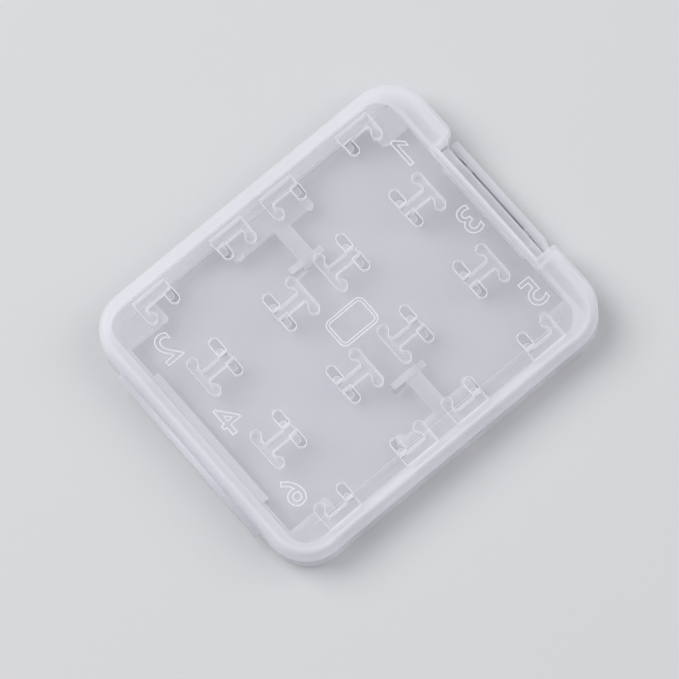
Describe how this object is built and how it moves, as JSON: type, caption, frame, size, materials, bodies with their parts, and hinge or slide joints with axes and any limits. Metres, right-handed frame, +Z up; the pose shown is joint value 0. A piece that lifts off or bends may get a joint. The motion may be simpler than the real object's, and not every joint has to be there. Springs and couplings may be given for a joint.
{
  "type": "memory card case",
  "caption": "Slim translucent clamshell case for memory cards, with a moulded hinge strip, card bays held by small lips, and a snap latch with a flexing tab.",
  "frame": {"origin": "on the table, under the middle of the closed case's outline, hinge strip included", "axes": "+Z up out of the lid, +X from the hinge to the latch, +Y along the hinge"},
  "size_m": [0.0538, 0.044, 0.0064],
  "materials": {
    "milky_shell": "translucent milky polypropylene, satin",
    "milky_fittings": "translucent milky polypropylene, glossy",
    "milky_hinge": "translucent milky polypropylene, thin and flexed white"
  },
  "bodies": {
    "base": {"base_shell": "milky_shell", "hinge_side_rail": "milky_fittings", "latch_side_rail": "milky_fittings", "back_end_ledges": "milky_fittings", "front_end_ledges": "milky_fittings", "bay_dividers": "milky_fittings", "bay_lips": "milky_fittings", "latch_tab_root": "milky_fittings", "hinge_strip": "milky_hinge"},
    "lid": {"lid_shell": "milky_shell", "small_card_stop_bars": "milky_fittings", "small_card_ribs": "milky_fittings", "small_card_lips": "milky_fittings", "latch_hook": "milky_fittings"},
    "tab": {"latch_tab": "milky_shell"}
  },
  "joints": [
    {"name": "lid_hinge", "type": "hinge", "parent": "base", "child": "lid", "pos_m": [-0.02696, 0, 0.0032], "axis": [0, -1, 0], "range_deg": [0, 180], "deforming": ["hinge_strip"]},
    {"name": "latch_tab_flex", "type": "hinge", "parent": "base", "child": "tab", "pos_m": [0.02634, 0, 0.0011], "axis": [0, 1, 0], "range_deg": [0, 10], "stiffness_Nm_per_rad": 0.1, "deforming": ["latch_tab_root"]}
  ]
}
